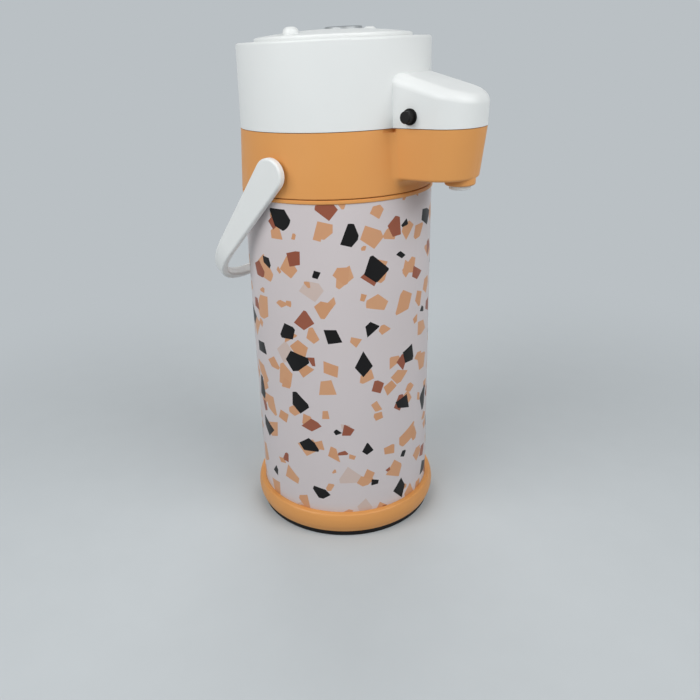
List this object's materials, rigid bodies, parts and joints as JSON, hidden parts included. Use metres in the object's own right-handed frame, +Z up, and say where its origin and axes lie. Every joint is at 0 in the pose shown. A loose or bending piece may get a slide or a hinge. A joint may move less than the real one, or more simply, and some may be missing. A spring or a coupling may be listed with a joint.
{
  "type": "pump pot",
  "caption": "Vacuum pump pot: glass-lined cylinder with a chip-patterned sleeve, hinged pump lid with spout and push plate, swinging bail handle and turntable foot.",
  "frame": {"origin": "on the pot's axis at the underside of the foot", "axes": "+Z up along the pot's axis, +X along the spout, +Y to the left of the spout"},
  "size_m": [0.1825, 0.1432, 0.3486],
  "materials": {
    "white_plastic": "glossy moulded polypropylene",
    "orange_plastic": "satin moulded polypropylene",
    "printed_sleeve": "printed film with scattered stone chips under a clear gloss",
    "black_plastic": "matt moulded",
    "badge_metal": "plain satin",
    "glass": "silvered blown glass",
    "dark_rubber": "matt",
    "clear_silicone": "translucent satin",
    "natural_plastic": "natural moulded",
    "bellows_rubber": "soft moulded",
    "spring_steel": "bright drawn",
    "felt": "pressed fibre"
  },
  "bodies": {
    "foot": {"turntable_foot": "black_plastic", "foot_grip_ring": "dark_rubber", "turntable_washer": "spring_steel", "turntable_screw": "spring_steel"},
    "flask": {"base_ring": "orange_plastic", "refill_plug": "natural_plastic", "base_cushion": "dark_rubber", "body_shell": "printed_sleeve", "neck_ring": "orange_plastic", "glass_outer": "glass", "glass_inner_base": "glass", "glass_inner_wall": "glass", "glass_inner_neck": "glass", "glass_spacers": "felt", "mouth_gasket": "clear_silicone", "collar": "orange_plastic", "hinge_pin": "spring_steel", "stopper": "natural_plastic", "stopper_gasket": "clear_silicone", "dip_tube": "natural_plastic", "outlet_pipe": "natural_plastic", "nozzle": "white_plastic"},
    "lid": {"lid_cover": "white_plastic", "underplate": "natural_plastic", "underplate_screws": "spring_steel", "air_seal": "clear_silicone", "air_valve_flap": "clear_silicone", "button_bushes": "black_plastic", "bellows": "bellows_rubber", "return_spring": "spring_steel"},
    "plunger": {"plunger": "natural_plastic", "retaining_ring": "spring_steel"},
    "push_plate": {"push_plate": "white_plastic", "badge_disc": "badge_metal"},
    "button_near": {"lid_button_near": "black_plastic"},
    "button_far": {"lid_button_far": "black_plastic"},
    "handle": {"handle": "white_plastic"}
  },
  "joints": [
    {"name": "turntable", "type": "hinge", "parent": "foot", "child": "flask", "pos_m": [0, 0, 0], "axis": [0, 0, 1], "continuous": true},
    {"name": "lid_hinge", "type": "hinge", "parent": "flask", "child": "lid", "pos_m": [-0.0665, 0, 0.2898], "axis": [0, -1, 0], "range_deg": [0, 100]},
    {"name": "pump_stroke", "type": "slide", "parent": "lid", "child": "plunger", "axis": [0, 0, -1], "range_m": [0, 0.02], "stiffness_N_per_m": 500, "springref_m": -0.012, "deforming": ["bellows", "return_spring"]},
    {"name": "lock_twist", "type": "hinge", "parent": "plunger", "child": "push_plate", "pos_m": [0, 0, 0.34], "axis": [0, 0, 1], "range_deg": [0, 45]},
    {"name": "handle_swing", "type": "hinge", "parent": "flask", "child": "handle", "pos_m": [0, 0, 0.265], "axis": [0, 1, 0], "range_deg": [0, 165]},
    {"name": "button_near_push", "type": "slide", "parent": "lid", "child": "button_near", "axis": [0, 1, 0], "range_m": [0, 0.004], "stiffness_N_per_m": 300, "springref_m": -0.002},
    {"name": "button_far_push", "type": "slide", "parent": "lid", "child": "button_far", "axis": [0, -1, 0], "range_m": [0, 0.004], "stiffness_N_per_m": 300, "springref_m": -0.002}
  ]
}
